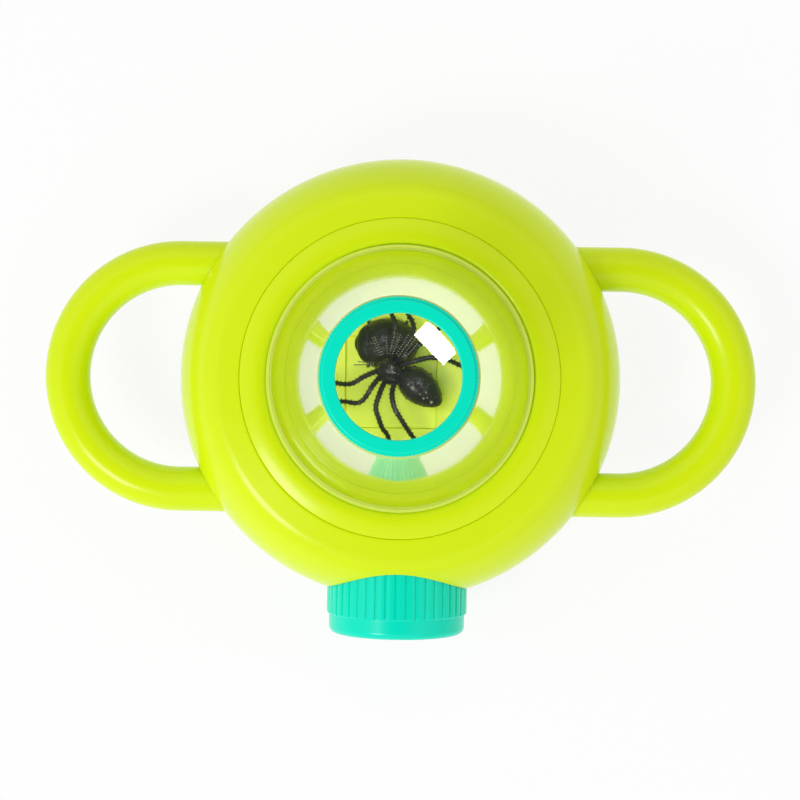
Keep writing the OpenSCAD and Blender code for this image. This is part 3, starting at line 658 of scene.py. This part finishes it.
def makeSideCap():
    ribEnd = sideCap["end"] - sideCap["band"]
    root = sideCap["r"] - sideCap["ribH"]
    band = root - sideCap["bandStep"]
    tip = band - sideCap["draft"]
    cornerR, rim = tip - sideCap["edge"], sideCap["rim"]
    outline = [(0, sideCap["inside"]), (sideCap["bore"], sideCap["inside"]), (sideCap["bore"], rim),
               (root - sideCap["rimEase"], rim), (sideCap["r"], rim + sideCap["ribEase"]),
               (sideCap["r"], ribEnd - sideCap["ribEase"]), (root - sideCap["rootEase"], ribEnd),
               (band, ribEnd + sideCap["bandEase"])]
    outline += arcPoints((cornerR, sideCap["end"] - sideCap["edge"]), sideCap["edge"], 0, 90, 10)
    outline += [(cornerR - sideCap["endFlat"], sideCap["end"]), (0, sideCap["end"])]
    steps = sideCap["ribs"] * sideCap["perRib"]
    bm = spinOutline(outline, steps, closed=False)
    for v in bm.verts:
        radius = math.hypot(v.co.x, v.co.y)
        if abs(radius - sideCap["r"] * mm) < 1e-6:
            turn = round(math.atan2(v.co.y, v.co.x) / (2 * halfTurn) * steps)
            v.co.xy *= (radius - ribDepth(turn) * mm) / radius
    piece = meshObject("sideCap", bm)
    thread = bmesh.new()
    startZ = threadLow + port["lead"] / port["starts"] / 2
    for start in range(port["starts"]):
        threadRidge(thread, sideCap["bore"], sideCap["bore"] - port["threadH"], port["threadW"],
                    port["lead"], port["turns"] / 2, 360 / port["starts"] * start, startZ,
                    sideCap["threadSteps"])
    cutWith(piece, meshObject("capThread", thread), "UNION")
    vents = bmesh.new()
    places = [(0, 0)] + [(k * sideCap["ventStep"], 60 * i / k) for k in (1, 2) for i in range(6 * k)]
    for radius, deg in places:
        vent = solidRound(sideCap["ventSides"], (sideCap["ventR"], *sideCap["ventEnds"]))
        addMesh(vents, moveOut(vent, radius, deg))
    cutWith(piece, meshObject("vents", vents), "DIFFERENCE")
    pieceOntoPort(piece)
    dress(piece, teal, "side_screw_cap", ["side_cap"], sharp=30)


makeSideNeck()
makeSideCap()

# Chamber under the jar

chamber = {"bowlR": 42.4, "bore": 40.2, "low": 2.4, "floor": 4.6, "top": 53.8, "bossR": 21.65, "face": 46.0,
           "panelR": 39.9, "panelTop": 6.0, "well": 16.8, "wellX": -2.1, "wellDeep": 1.0, "wellEdge": 0.35,
           "toolH": 4.0, "middleR": 41.3, "middleEnds": (3.5, 70.0), "portFrom": 20.0, "portPast": 60.0,
           "mouthSoft": 0.4, "baseSoft": 1.0, "panelSoft": 0.3, "steps": 160, "portSteps": 96}


def makeBowl():
    outline = [(0, chamber["floor"]), (chamber["bore"], chamber["floor"]),
               (chamber["bore"], chamber["top"]), (chamber["bowlR"], chamber["top"]),
               (chamber["bowlR"], chamber["low"]), (0, chamber["low"])]
    bm = spinOutline(outline, chamber["steps"], closed=False)
    softenRings(bm, [(chamber["bore"], chamber["top"], chamber["mouthSoft"]),
                     (chamber["bowlR"], chamber["low"], chamber["baseSoft"])])
    piece = meshObject("chamberBowl", bm)
    boss = ontoPort(solidRound(chamber["portSteps"],
                               (chamber["bossR"], chamber["portFrom"], chamber["face"])))
    inside = solidRound(chamber["steps"], (chamber["middleR"], *chamber["middleEnds"]))
    cutWith(piece, cutWith(meshObject("boss", boss), meshObject("inside", inside), "DIFFERENCE"), "UNION")
    hole = ontoPort(solidRound(chamber["portSteps"], (port["r"], chamber["portFrom"], chamber["portPast"])))
    cutWith(piece, meshObject("hole", hole), "DIFFERENCE")
    dress(piece, limePaintedShade, "body", ["chamber_bowl"])


def makeFloorPanel():
    bm = solidRound(chamber["steps"], (chamber["panelR"], chamber["floor"], chamber["panelTop"]))
    softenRings(bm, [(chamber["panelR"], chamber["panelTop"], chamber["panelSoft"])])
    piece = meshObject("floorPanel", bm)
    tool = bmesh.new()
    bmesh.ops.create_cube(tool, size=1.0)
    bmesh.ops.scale(tool, vec=(chamber["well"] * mm, chamber["well"] * mm, chamber["toolH"] * mm),
                    verts=tool.verts)
    bmesh.ops.bevel(tool, geom=list(tool.edges), offset=chamber["wellEdge"] * mm, offset_type="OFFSET",
                    segments=3, profile=0.5, affect="EDGES", material=-1, clamp_overlap=True)
    toolZ = chamber["panelTop"] - chamber["wellDeep"] + chamber["toolH"] / 2
    bmesh.ops.translate(tool, vec=(chamber["wellX"] * mm, 0, toolZ * mm), verts=tool.verts)
    cutWith(piece, meshObject("well", tool), "DIFFERENCE")
    dress(piece, limePaintedLight, "body", ["floor_panel"])


makeBowl()
makeFloorPanel()

# Small pieces of the frame keep their shape and get a finish

for cadName, finish in (("jar_gasket", silicone), ("neck_gasket", silicone), ("lens_cap_seal", silicone),
                        ("vent_screen", silicone), ("side_cap_liner", foam), ("lens_retainer", teal),
                        ("shell_screws", zinc), ("collar_screws", zinc)):
    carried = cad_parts[cadName]
    carried.data.materials.clear()
    carried.data.materials.append(finish)
print("small pieces finished")

# Toy bugs

spider = {
    "head": (-2.4, 2.0, 14.6), "headSize": (2.6, 2.3, 1.9), "headTurn": -40, "twist": 1.8,
    "lumps": ((0.13, 2.4), (0.05, 6.0)),  # depth and fineness of the head's dents
    "waist": (1.5, -1.3, -0.2), "waistSize": (1.5, 1.2, 1.1),
    "abdomen": (9.9, 6.5, 6.2), "angle": -40.5, "middle": (3.45, -1.15, 14.2), "slim": (0.19, 0.1),
    "root": 14.3, "knee": 16.6, "foot": 6.45, "riseShare": 0.3, "dropCurve": 0.9,
    "legR": (0.50, 0.46, 0.40), "thinShare": 0.4, "barb": 0.34, "barbR": 0.16, "barbStep": 0.75,
    "barbOut": 0.05, "barbLean": 0.5,
    "legs": (
        ((-3.6, 2.3), (-4.9, 2.1), (-7.3, 1.1), (-9.8, -0.2), (-12.7, 0.1), (-17.2, 1.6)),
        ((-3.4, 1.3), (-4.3, 0.9), (-5.6, -0.6), (-7.3, -3.1), (-8.8, -3.9), (-12.0, -3.5), (-18.0, -4.6)),
        ((-2.9, 0.6), (-3.4, -0.1), (-4.4, -2.3), (-5.1, -4.8), (-4.6, -6.8), (-3.9, -8.7), (-2.7, -10.6),
         (-1.1, -17.0)),
        ((-1.7, 0.6), (-1.6, -0.4), (-2.0, -2.3), (-1.6, -4.8), (-0.4, -7.0), (1.0, -9.2), (2.0, -10.6),
         (6.0, -16.1)),
        ((-2.3, 3.4), (-1.9, 5.0), (-1.4, 8.7), (-1.2, 11.2), (-1.9, 13.2), (-4.2, 20.0)),
        ((-1.4, 3.3), (-0.4, 5.0), (0.8, 7.0), (2.3, 10.0), (2.0, 11.7), (1.3, 13.2), (1.2, 20.2)),
        ((-1.1, 3.0), (0.1, 4.5), (2.0, 6.0), (4.0, 7.5), (6.5, 9.5), (13.0, 14.6)),
        ((-0.9, 2.7), (0.3, 3.3), (2.5, 4.0), (5.0, 4.5), (6.5, 4.5), (8.7, 4.1), (11.4, 2.8), (17.4, 0.2)),
    ),
    "hairs": (
        ((-3.9, 4.8), (-5.5, 8.4)), ((-3.5, 4.9), (-5.1, 8.6)), ((-2.7, 5.0), (-2.9, 8.5)),
        ((-2.4, 5.0), (-1.5, 8.5)), ((-1.9, 5.0), (-0.2, 9.0)), ((-1.2, 5.0), (1.3, 8.9)),
        ((-0.9, 4.6), (2.0, 8.3)), ((-0.2, 4.5), (2.5, 8.0)), ((0.3, 4.2), (3.0, 7.2)),
        ((-4.9, 3.4), (-9.1, 3.4)), ((-4.9, 3.7), (-8.4, 4.0)),
    ),
    "hairR": 0.08, "hairZ": (16.0, 17.6), "beadR": 0.13, "beadStep": 0.5,
    # painted glints: pale specks on the abdomen where the toy shows glints
    "paintedGlints": ((5.5, -3.95, 0.3), (4.55, -2.05, 0.17), (4.05, -3.25, 0.2), (1.75, -1.15, 0.13),
               (2.95, -0.45, 0.13), (4.75, -3.1, 0.14), (3.4, -2.4, 0.12)),
    "knobs": ((-4.0, 2.0), (-0.9, 2.1), (-0.7, 1.5), (-1.6, 0.4), (-3.1, 3.6), (-1.4, 3.7)),
    "knobZ": 15.6, "knobSize": (0.42, 0.42, 0.4),
    "warts": 110, "wartTurn": 2.39996, "wartReach": 0.97, "wartSize": 0.17, "wartVary": 0.07,
    "wartBeat": 1.7, "wartFlat": 0.8,
}


def smoothLine(points, count):
    # a smooth line through a few points (Catmull-Rom), sampled evenly
    out = []
    pts = [Vector(p) for p in points]
    pts = [pts[0] * 2 - pts[1]] + pts + [pts[-1] * 2 - pts[-2]]
    for i in range(1, len(pts) - 2):
        a, b, c, d = pts[i - 1:i + 3]
        for k in range(count):
            t = k / count
            out.append(0.5 * (2 * b + (c - a) * t + (2 * a - 5 * b + 4 * c - d) * t * t
                              + (3 * b - a - 3 * c + d) * t ** 3))
    out.append(pts[-2])
    return out


def addStrand(bm, points, radii, sides=10):
    # a tube along a line, made with a curve's own bevel and turned into a mesh
    curve = bpy.data.curves.new("strand", "CURVE")
    curve.dimensions = "3D"
    curve.bevel_depth = mm
    curve.bevel_resolution = max(0, sides // 4 - 1)
    curve.use_fill_caps = True
    line = curve.splines.new("POLY")
    line.points.add(len(points) - 1)
    for spot, p, r in zip(line.points, points, radii):
        spot.co = (*(Vector(p) * mm), 1)
        spot.radius = r
    holder = bpy.data.objects.new("strand", curve)
    mesh = bpy.data.meshes.new_from_object(holder)
    bm.from_mesh(mesh)
    bpy.data.objects.remove(holder)
    bpy.data.curves.remove(curve)
    bpy.data.meshes.remove(mesh)


def addBall(bm, centre, radii, turnZ=0.0, segments=24, rings=16, uneven=False):
    ball = bmesh.new()
    bmesh.ops.create_uvsphere(ball, u_segments=segments, v_segments=rings, radius=1.0)
    if uneven:  # dents and blunt corners
        for v in ball.verts:
            v.co *= 1 + sum(depth * noise.noise(v.co * scale) for depth, scale in spider["lumps"])
    bmesh.ops.scale(ball, vec=Vector(radii) * mm, verts=ball.verts)
    bmesh.ops.rotate(ball, matrix=Matrix.Rotation(turnZ, 3, "Z"), verts=ball.verts)
    bmesh.ops.translate(ball, vec=Vector(centre) * mm, verts=ball.verts)
    addMesh(bm, ball)


def legHeight(share):
    # up from the head to the knee, then down to the floor
    rise = spider["riseShare"]
    if share < rise:
        return spider["root"] + (spider["knee"] - spider["root"]) * math.sin(share / rise * halfTurn / 2)
    drop = math.cos((share - rise) / (1 - rise) * halfTurn / 2) ** spider["dropCurve"]
    return spider["foot"] + (spider["knee"] - spider["foot"]) * drop


def addBarb(bm, place, way):
    cone = bmesh.new()
    bmesh.ops.create_cone(cone, cap_ends=True, segments=5, radius1=spider["barbR"] * mm,
                          radius2=spider["barbR"] * mm / 4, depth=spider["barb"] * mm)
    bmesh.ops.rotate(cone, matrix=way.to_track_quat("Z", "Y").to_matrix(), verts=cone.verts)
    bmesh.ops.translate(cone, vec=place * mm, verts=cone.verts)
    addMesh(bm, cone)


def addLeg(bm, leg):
    flat = smoothLine([(x, y, 0) for x, y in leg], 10)
    total = sum((b - a).length for a, b in zip(flat, flat[1:]))
    gone, line = 0.0, []
    for i, p in enumerate(flat):
        gone += (p - flat[i - 1]).length if i else 0
        line.append(Vector((p.x, p.y, legHeight(gone / total))))
    root, knee, foot = spider["legR"]
    thin = spider["thinShare"]
    shares = [i / (len(line) - 1) for i in range(len(line))]
    radii = [root + (knee - root) * min(1, t / thin) + (foot - knee) * max(0, t - thin) / (1 - thin)
             for t in shares]
    addStrand(bm, line, radii, 12)
    walked = 0.0
    for i in range(1, len(line) - 2):  # a pair of barbs at each step along the leg
        walked += (line[i] - line[i - 1]).length
        if walked > spider["barbStep"]:
            walked = 0.0
            along = (line[i + 1] - line[i - 1]).normalized()
            side = along.cross(Vector((0, 0, 1))).normalized()
            for s in (-1, 1):
                addBarb(bm, line[i] + side * s * (radii[i] + spider["barbOut"]),
                        (side * s + along * spider["barbLean"]).normalized())


def eggPoint(along, across, up):
    # a point of a ball of radius 1, drawn out to the abdomen's egg with its point at the rear
    length, width, deep = spider["abdomen"]
    first, second = spider["slim"]
    slim = 1 - first * along - second * along * along
    return Vector((along * length / 2, across * width / 2 * slim, up * deep / 2 * slim))


def addAbdomen(bm, turned, middle):
    belly = bmesh.new()
    bmesh.ops.create_uvsphere(belly, u_segments=56, v_segments=40, radius=1.0)
    for v in belly.verts:
        v.co = (turned @ eggPoint(v.co.z, v.co.x, v.co.y) + middle) * mm
    addMesh(bm, belly)
    for i in range(spider["warts"]):  # grains on its back, in an even spiral
        up = 1 - (i + 0.5) / spider["warts"]
        side = math.sqrt(1 - up * up)
        swing = i * spider["wartTurn"]
        spot = eggPoint(side * math.cos(swing) * spider["wartReach"], side * math.sin(swing), up)
        size = spider["wartSize"] + spider["wartVary"] * math.sin(i * spider["wartBeat"])
        addBall(bm, turned @ spot + middle, (size, size, size * spider["wartFlat"]), 0, 7, 5)


def addHairs(bm, beads):
    low, high = spider["hairZ"]
    for start, end in spider["hairs"]:
        a, b = Vector((*start, low)), Vector((*end, high))
        count = max(3, int((b - a).length / spider["beadStep"]))
        line = [a + (b - a) * i / count for i in range(count + 1)]
        addStrand(bm, line, [spider["hairR"]] * (count + 1), 6)
        for spot in line[1:]:
            addBall(beads, spot, (spider["beadR"],) * 3, 0, 6, 4)


def addPaintedGlints(beads, turned, middle):
    # pale grains on top of the abdomen, whose pale finish is painted glints
    length = spider["abdomen"][0]
    unturned = turned.inverted()
    for x, y, size in spider["paintedGlints"]:
        spot = unturned @ Vector((x - middle.x, y - middle.y, 0))
        along = spot.x / length * 2
        across = spot.y / eggPoint(along, 1, 0).y
        up = eggPoint(along, 0, math.sqrt(1 - along * along - across * across)).z
        addBall(beads, (x, y, middle.z + up), (size, size, size), 0, 12, 8)


def makeSpider():
    bm, beads = bmesh.new(), bmesh.new()
    head, turn = Vector(spider["head"]), math.radians(spider["headTurn"])
    addBall(bm, head, spider["headSize"], turn, 40, 28, uneven=True)
    addBall(bm, head + Vector(spider["waist"]), spider["waistSize"], turn, 20, 12)
    turned, middle = Matrix.Rotation(math.radians(spider["angle"]), 3, "Z"), Vector(spider["middle"])
    addAbdomen(bm, turned, middle)
    for x, y in spider["knobs"]:
        addBall(bm, (x, y, spider["knobZ"]), spider["knobSize"], 0, 12, 8)
    for leg in spider["legs"]:
        addLeg(bm, leg)
    addHairs(bm, beads)
    addPaintedGlints(beads, turned, middle)
    beadsFrom = len(bm.faces)
    addMesh(bm, beads)
    bmesh.ops.rotate(bm, matrix=Matrix.Rotation(math.radians(spider["twist"]), 3, "Z"), verts=bm.verts)
    toy = dress(meshObject("toySpider", bm), spiderBlack, "body", ["toy_spider"],
                sharp=60, flat=False)
    # the hair beads and the abdomen specks take the pale finish; on the specks it is painted glints
    toy.data.materials.append(hairGrey)
    for face in toy.data.polygons[beadsFrom:]:
        face.material_index = 1


beetle = {
    "middle": (-2.9, 7.0), "floor": 6.6, "length": 11.4, "width": 9.4, "height": 3.72, "lift": 1.2,
    "under": -0.25, "seamDeep": 0.06, "seamWide": 0.05, "chest": (-3.3, 2.0), "chestSize": (2.4, 3.6, 2.0),
    "face": (-5.0, 1.5), "faceSize": (1.0, 1.6, 1.1), "legR": (0.42, 0.3),
    "leg": ((2.8, 2.8, 0.9), (3.3, 3.7, 1.1), (3.5, 4.1, -0.1)),
}


def makeBeetle():
    bm, shell = bmesh.new(), bmesh.new()
    x, y = beetle["middle"]
    floor = beetle["floor"]
    bmesh.ops.create_uvsphere(shell, u_segments=64, v_segments=32, radius=1.0)
    for v in shell.verts:  # domed wing cases with a seam, flat underneath
        dome = max(v.co.z, beetle["under"])
        seam = beetle["seamDeep"] * math.exp(-(v.co.y / beetle["seamWide"]) ** 2) * max(0.0, dome)
        v.co = Vector((v.co.x * beetle["length"] / 2, v.co.y * beetle["width"] / 2,
                       dome * (1 - seam) * beetle["height"]))
        v.co = (v.co + Vector((x, y, floor + beetle["lift"]))) * mm
    addMesh(bm, shell)
    addBall(bm, (x + beetle["chest"][0], y, floor + beetle["chest"][1]), beetle["chestSize"], 0, 28, 18)
    addBall(bm, (x + beetle["face"][0], y, floor + beetle["face"][1]), beetle["faceSize"], 0, 18, 12)
    thick, thin = beetle["legR"]
    for s in (-1, 1):
        for i in (-1, 0, 1):
            line = [(x + i * out, y + s * side, floor + up) for out, side, up in beetle["leg"]]
            addStrand(bm, smoothLine(line, 6), [thick + (thin - thick) * k / 12 for k in range(13)], 10)
    dress(meshObject("toyBeetle", bm), beetleBlack, "body", ["toy_beetle"], sharp=60,
          flat=False)


makeSpider()
makeBeetle()

# Floor, lights and camera

stage = {
    "floorSize": 8.0, "floorColour": 0.96, "floorDrop": 0.0002, "shadowShare": 0.13, "lampTarget": 0.05,
    "sky": ((0.0, 0.62), (1.0, 0.14), (0.5, 0.80), (0.84, 0.95), (0.93, 0.16)),  # height and brightness
    "lamps": {  # tilt and azimuth in degrees, distance, size, power, pieces it lights (none named: all)
        "keyLight": (41.0, 222.0, 1.3, (0.36, 0.36), 5.7, ()),
        "lensGlare": (16.4, 45.0, 1.2, (0.286, 0.138), 9.0,
                      ("magnifierLens", "chamberBowl", "toySpider", "toyBeetle")),
        "toyGlint": (33.0, 200.0, 0.8, (0.06, 0.06), 1.6, ("toySpider",)),
        "wellLight": (10.0, 205.0, 1.1, (0.5, 0.5), 11.5, ("floorPanel",)),
    },
}


def makeFloor():
    bm = bmesh.new()
    bmesh.ops.create_grid(bm, x_segments=8, y_segments=8, size=stage["floorSize"] / 2)
    mesh = bpy.data.meshes.new("floor")
    bm.to_mesh(mesh)
    bm.free()
    floor = linkObject("floor", mesh)
    material, tree, shader = principled("floorWhite")
    shader.inputs["Base Color"].default_value = (*[stage["floorColour"]] * 3, 1)
    shader.inputs["Roughness"].default_value = 1.0
    shader.inputs["Specular IOR Level"].default_value = 0.0
    glow = node(tree, "ShaderNodeEmission", Color=(1, 1, 1, 1), Strength=1.0)
    rays = tree.nodes.new("ShaderNodeLightPath").outputs
    mirrored = larger(tree, rays["Is Glossy Ray"], rays["Is Transmission Ray"])
    paler = tree.nodes.new("ShaderNodeMath")  # the white floor keeps part of the shadow
    paler.operation = "MULTIPLY"
    paler.inputs[1].default_value = 1 - stage["shadowShare"]
    tree.links.new(rays["Is Camera Ray"], paler.inputs[0])
    mixShaders(tree, larger(tree, mirrored, paler.outputs[0]), shader.outputs[0], glow.outputs[0],
               "Material Output")
    mesh.materials.append(material)
    floor.location.z = -stage["floorDrop"]


def makeWorld():
    world = bpy.data.worlds.new("studio")
    bpy.context.scene.world = world
    world.use_nodes = True
    tree = world.node_tree
    soft = tree.nodes["Background"]
    sky = tree.nodes.new("ShaderNodeTexCoord")
    height = tree.nodes.new("ShaderNodeSeparateXYZ")
    tree.links.new(sky.outputs["Generated"], height.inputs[0])
    fade = tree.nodes.new("ShaderNodeValToRGB")  # soft white overhead, dark where the camera hangs
    for i, (place, level) in enumerate(stage["sky"]):
        stop = fade.color_ramp.elements[i] if i < 2 else fade.color_ramp.elements.new(place)
        stop.position = place
        stop.color = (level, level, level, 1)
    tree.links.new(height.outputs["Z"], fade.inputs["Fac"])
    tree.links.new(fade.outputs["Color"], soft.inputs["Color"])
    white = node(tree, "ShaderNodeBackground", Color=(1, 1, 1, 1), Strength=1.0)
    rays = tree.nodes.new("ShaderNodeLightPath").outputs
    mixShaders(tree, rays["Is Camera Ray"], soft.outputs[0], white.outputs[0], "World Output")


def makeLamp(name, tilt, azimuth, away, size, power, lit):
    data = bpy.data.lights.new(name, "AREA")
    data.shape = "RECTANGLE"
    data.size, data.size_y = size
    data.energy = power
    lamp = linkObject(name, data)
    t, a = math.radians(tilt), math.radians(azimuth)
    offset = away * Vector((math.sin(t) * math.cos(a), math.sin(t) * math.sin(a), math.cos(t)))
    lamp.location = Vector((0, 0, stage["lampTarget"])) + offset
    lamp.rotation_euler = (-offset).to_track_quat("-Z", "Y").to_euler()
    if lit:
        group = bpy.data.collections.new(name)
        for piece in lit:
            group.objects.link(bpy.data.objects[piece])
        lamp.light_linking.receiver_collection = group


view = {"place": (0.0031, -0.0044, 0.682), "target": (0.0, -0.0071, 0.032), "focalPixels": 1899.3,
        "sensor": 36.0, "pixels": 800, "roll": -0.9, "clip": (0.01, 50.0)}


def makeCamera():
    camera = linkObject("camera", bpy.data.cameras.new("camera"))
    camera.data.sensor_width = view["sensor"]
    camera.data.lens = view["sensor"] * view["focalPixels"] / view["pixels"]
    camera.data.clip_start, camera.data.clip_end = view["clip"]
    forward = (Vector(view["target"]) - Vector(view["place"])).normalized()
    turn = math.radians(view["roll"])
    right = forward.cross(Vector((math.sin(turn), math.cos(turn), 0))).normalized()
    up = right.cross(forward).normalized()
    turned = Matrix((right, up, -forward)).transposed()
    camera.matrix_world = Matrix.Translation(view["place"]) @ turned.to_4x4()
    bpy.context.scene.camera = camera


makeFloor()
makeWorld()
for name, values in stage["lamps"].items():
    makeLamp(name, *values)
makeCamera()
bpy.context.scene.view_settings.view_transform = "Standard"
print("stage set")
